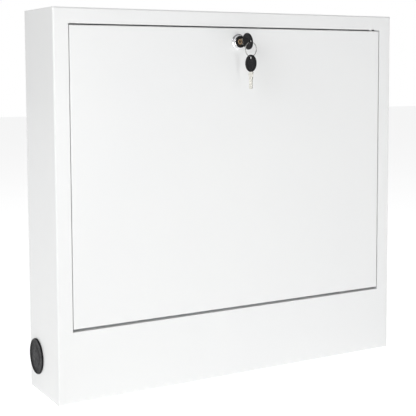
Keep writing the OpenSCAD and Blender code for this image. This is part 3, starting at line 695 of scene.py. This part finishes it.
def flow_details():
    for n, place in zip(LOOPS, loops_of("flow_ring")):
        node = "flow_ring_%d" % n
        matrix = placed((place.x, place.y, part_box(node)[0].z), (0, 0, 1))

        def ring(mesh):
            grip = [(h, ribbed(r, rib, 18)) for h, r, rib in
                    ((0.6, 12.9, 0.4), (1.4, 13, 0.9), (10.4, 13, 0.9), (11.4, 12.9, 0.6))]
            outer = [(0, 12.2), (0.2, 12.75)] + grip + [(12.2, 12.5), (12.7, 12.1), (13, 11.5)]
            inner = [(13, 9.6), (12.8, 9.3), (11.9, 8.9), (11.6, 8.1), (0.3, 8.1), (0, 8.4)]
            lathe(mesh, matrix, outer + inner, 144, True)
            block(mesh, matrix, (9.9, -0.45, 12.9), (11.3, 0.45, 13.25))

        made("flow_knob_%d" % n, node, SLOT_OF[node], ring, (node,))

    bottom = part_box("flow_glasses")[0].z
    top = reach("flow_glasses").z
    dome_foot = top - 8

    def each(build):
        def all_five(mesh):
            for place in loops_of("flow_ring"):
                build(mesh, placed((place.x, place.y, bottom), (0, 0, 1)))
        return all_five

    def glass(mesh, matrix):
        dome = [math.radians(15 * k) for k in range(6)]
        outside = [(dome_foot + 7.95 * math.sin(a), 7.95 * math.cos(a)) for a in dome]
        inside = [(dome_foot + 6.7 * math.sin(a), 6.7 * math.cos(a)) for a in reversed(dome)]
        rings = [(top - 1.3, 0.2)] + inside + [(0, 6.7), (0, 7.95)] + outside + [(top - 0.05, 0.2)]
        lathe(mesh, matrix, rings)

    def rod(mesh, matrix):
        lathe(mesh, matrix, [(1, 0.1), (1, 3.4), (3, 3.4), (3.2, 0.8), (top - 5, 0.8), (top - 4.4, 0.3)], 24)

    def floats(mesh, matrix):
        rings = [(34, 0.85), (34, 3.0), (34.6, 4.4), (35.4, 4.6), (37.4, 4.6), (38.2, 4.3), (38.6, 3.2),
                 (38.6, 0.85)]
        lathe(mesh, matrix, rings, 32, True)

    def ticks(mesh, matrix):
        for n in range(9):
            height = 22 + 3.6 * n
            half_angle = (0.55 if n % 2 else 0.9) * 0.8
            path = [matrix @ (Vector((8.0 * math.sin(a), -8.0 * math.cos(a), height)) * MM)
                    for a in (half_angle * (k / 8 - 1) for k in range(17))]
            sweep(mesh, path, 0.17 * MM, 6)

    made("flow_tubes", "cabinet", "clear_tube", each(glass), ("flow_glasses",), 50)
    made("flow_rods", "cabinet", "stainless", each(rod))
    made("flow_floats", "cabinet", "red_plastic", each(floats))
    made("flow_ticks", "cabinet", "black_plastic", each(ticks))


def valve_cap_details():
    for n, place in zip(LOOPS, loops_of("valve_cap")):
        node = "valve_cap_%d" % n
        matrix = placed((place.x, place.y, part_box(node)[0].z), (0, 0, 1))

        def build(mesh):
            inner = [(25, 0.4), (25, 15.06), (0.4, 15.06), (0, 15.6)]
            skirt = [(0, 18.4), (0.25, 18.85), (0.8, 19)]
            grip = [(h, ribbed(r, 1.3 * rise, 20)) for h, r, rise in
                    ((2.2, 19, 0.4), (3.2, 19, 1), (24.5, 18.85, 1), (26.6, 18.65, 0.85))]
            crown = [(28.2, 18.3), (29.2, 17.5), (29.8, 16.4), (30, 15), (30, 12.8), (29.75, 12.2),
                     (29.2, 11.8), (28.9, 11), (28.9, 0.4)]
            lathe(mesh, matrix, inner + skirt + grip + crown, 160)
            block(mesh, matrix, (-0.6, 4, 28.85), (0.6, 10, 29.35))

        made("valve_knob_%d" % n, node, SLOT_OF[node], build, (node,))


def insert_details():
    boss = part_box("valve_inserts")[0].z + 6 * MM

    def build(mesh):
        for place in loops_of("valve_cap"):
            matrix = placed((place.x, place.y, boss), (0, 0, 1))
            body = [(-6, 0.4), (-6, 7.8), (0, 7.8)] + hex_rings(0.02, 8, 13.9) + [(8.1, 13.2)]
            pin = [(18, 14), (18, 4.2), (17.4, 3.9), (17.4, 2.5), (23.4, 2.5), (24, 2), (24, 0.4)]
            lathe(mesh, matrix, body + thread_rings(8.4, 17.2, 15, 1.5, 0.8) + pin, 72)

    made("valve_inserts_turned", "cabinet", SLOT_OF["valve_inserts"], build, ("valve_inserts",))


def ball_valve_details():
    for side in ("supply", "return"):
        node = "ball_valve_" + side
        place = joint_place("valve_%s_turn" % side)
        length = reach(node).x
        matrix = placed((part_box(node)[0].x, place.y, place.z), (1, 0, 0), (0, 0, -1))
        stem = placed(place, (0, 0, 1))

        def build(mesh):
            body = [(18.4, 19.6), (19.6, 18.6), (24, 18.4), (28, 19.2), (33, 20.4), (41, 20.5), (49, 20.4),
                    (55, 19.0), (60, 18.2), (66, 18.2), (71, 18.6), (73.4, 19.2)]
            nut = hex_rings(74, length, 23) + [(length, 17.1), (length - 0.5, 16.6), (74.5, 16.6)]
            bore = [(74, 12.6), (18, 12.6), (17, 15.2)]
            thread = thread_rings(1.5, 16, 15.9, MAINS_THREAD_PITCH, 0.75)[::-1]
            mouth = bore + thread + [(0.4, 16.4), (0, 16.8)]
            lathe(mesh, matrix, hex_rings(0, 18, 23.5) + body + nut + mouth, 72, True)
            gland = [(17, 4.08), (17, 9.2), (19.5, 8.2), (22, 8), (26.2, 8), (26.8, 7.7), (27, 7.2),
                     (27, 4.3), (26.7, 4.08)]
            lathe(mesh, stem, gland, 48, True)

        made(node + "_turned", "cabinet", SLOT_OF[node], build, (node,))


def end_details():
    for side in ("supply", "return"):
        node = "end_piece_" + side
        centre = middle(node)
        matrix = placed((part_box(node)[0].x, centre.y, centre.z), (1, 0, 0), (0, 0, -1))

        def build(mesh):
            neck = [(12.2, 17.2), (12.8, 16.2), (14, 16), (28.6, 16), (29.6, 15.6), (30, 14.8), (30, 7.1),
                    (0, 7.1)]
            lathe(mesh, matrix, hex_rings(0, 12, 22) + neck, 72, True)

        made(node + "_turned", "cabinet", SLOT_OF[node], build, (node,))


def vent_details():
    x = middle("air_vents").x
    ends = [middle("end_piece_" + side) for side in ("supply", "return")]

    def vents(mesh):
        for end in ends:
            matrix = placed((x, end.y, end.z + 13 * MM), (0, 0, 1))
            foot = [(0, 0.4), (0, 4.9), (3, 4.9), (3.2, hexagon(7)), (8.8, hexagon(7))]
            pot = [(9, 6), (9.6, 6.2), (10, 7.6), (10.5, 8.5), (11.4, 9), (15, 9), (15.2, 8.6), (16, 8.6),
                   (16.2, 9), (31, 9), (33, 8.6), (34.6, 7.4), (35.6, 5.4), (35.9, 3.4)]
            cap = [(36.2, ribbed(2.6, 0.4, 12)), (40, ribbed(2.6, 0.4, 12)), (40.7, 2.2), (40.8, 0.4)]
            lathe(mesh, matrix, foot + pot + cap, 72)

    made("air_vents_turned", "cabinet", SLOT_OF["air_vents"], vents, ("air_vents",))
    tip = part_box("drain_cocks")[1].x

    def drains(mesh):
        for end in ends:
            matrix = placed((tip, end.y, end.z), (-1, 0, 0))
            cap = [(0, 0.4), (0, 10.6), (0.3, 11.4), (0.9, ribbed(11.6, 0.5, 16)), (2, ribbed(11.7, 0.8, 16)),
                   (7.4, ribbed(11.7, 0.8, 16)), (8.4, 11.4), (8.8, 10.4), (9, 10)]
            tail = [(15.4, 10), (21.4, 10), (22, 9.4), (22, 6.95), (27, 6.95), (27, 0.4)]
            lathe(mesh, matrix, cap + thread_rings(9.2, 15, 10, 1.8, 0.8) + tail, 96)

    made("drain_cocks_turned", "cabinet", SLOT_OF["drain_cocks"], drains, ("drain_cocks",))


def screw_details():
    caps = [(middle("clamp_cap_%s_%s" % (bar, side)), joint_place("valve_%s_turn" % bar).y)
            for bar in ("supply", "return") for side in ("left", "right")]
    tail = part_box("clamp_screws")[1].y

    def socket_screws(mesh):
        for centre, bar_y in caps:
            for up in (-22, 22):
                head = bar_y - 8.5 * MM
                matrix = placed((centre.x, head, centre.z + up * MM), (0, 1, 0))
                socket = [(2.2, hexagon(2.3)), (0.25, hexagon(2.3)), (0, 2.7)]
                knurl = [(z, ribbed(4.85, 0.15, 30)) for z in (0.7, 3.1)]
                cap = [(0, 4.3), (0.15, 4.7), (0.5, 4.95)] + knurl + [(3.5, 4.95), (3.5, 3)]
                lathe(mesh, matrix, socket + cap + [((tail - head) / MM, 3)], 60)

    made("clamp_socket_screws", "cabinet", SLOT_OF["clamp_screws"], socket_screws, ("clamp_screws",))
    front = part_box("bracket_bolts")[0].y
    length = reach("bracket_bolts").y

    def hex_bolts(mesh):
        head = [(0.25, 0.3), (0.25, 3.6), (0, 4)] + hex_rings(0, 3.6, 5.77)[:5] + [(3.2, hexagon(5.77))]
        washer = [(3.2, 6), (3.35, 6.6), (3.97, 6.7), (3.97, 3)]
        for bracket in ("bracket_left", "bracket_right"):
            for rail in ("rail_upper", "rail_lower"):
                matrix = placed((middle(bracket).x, front, middle(rail).z), (0, 1, 0))
                lathe(mesh, matrix, head + washer + [(length, 3)], 72)

    made("bracket_hex_bolts", "cabinet", SLOT_OF["bracket_bolts"], hex_bolts, ("bracket_bolts",))


RAIL_WELDS, RAIL_SHEET = 8, 1.5


def weld_marks():
    """Spot welds that hold the rails: shallow round rings on their floors."""
    low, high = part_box("rail_upper")
    floor_y = high.y - RAIL_SHEET * MM

    def build(mesh):
        for rail in ("rail_upper", "rail_lower"):
            for n in range(RAIL_WELDS):
                x = low.x + (high.x - low.x) * (n + 0.5) / RAIL_WELDS
                matrix = placed((x, floor_y, middle(rail).z), (0, -1, 0))
                dent = [(-0.3, 2.9), (0.02, 2.9), (0.14, 2.6), (0.14, 2.3), (0.05, 2.0), (0.03, 0.3)]
                lathe(mesh, matrix, dent, 32)

    made("rail_spot_welds", "cabinet", "galvanised", build)


def soften_nodes():
    for width, names in ((1.2, ("valve_handle_supply", "valve_handle_return")),
                         (0.6, [n for n in nodes if n.startswith("clamp_") and n != "clamp_screws"]),
                         (0.35, ("bracket_left", "bracket_right", "slide_nuts", "cam")),
                         (0.2, ("rail_upper", "rail_lower"))):
        for name in names:
            soften(nodes[name], width)


make_camera()
make_studio()
paint_nodes()
soften_nodes()
lock_details()
key_details()
plug_details()
outlet_details()
flow_details()
valve_cap_details()
insert_details()
ball_valve_details()
end_details()
vent_details()
screw_details()
weld_marks()
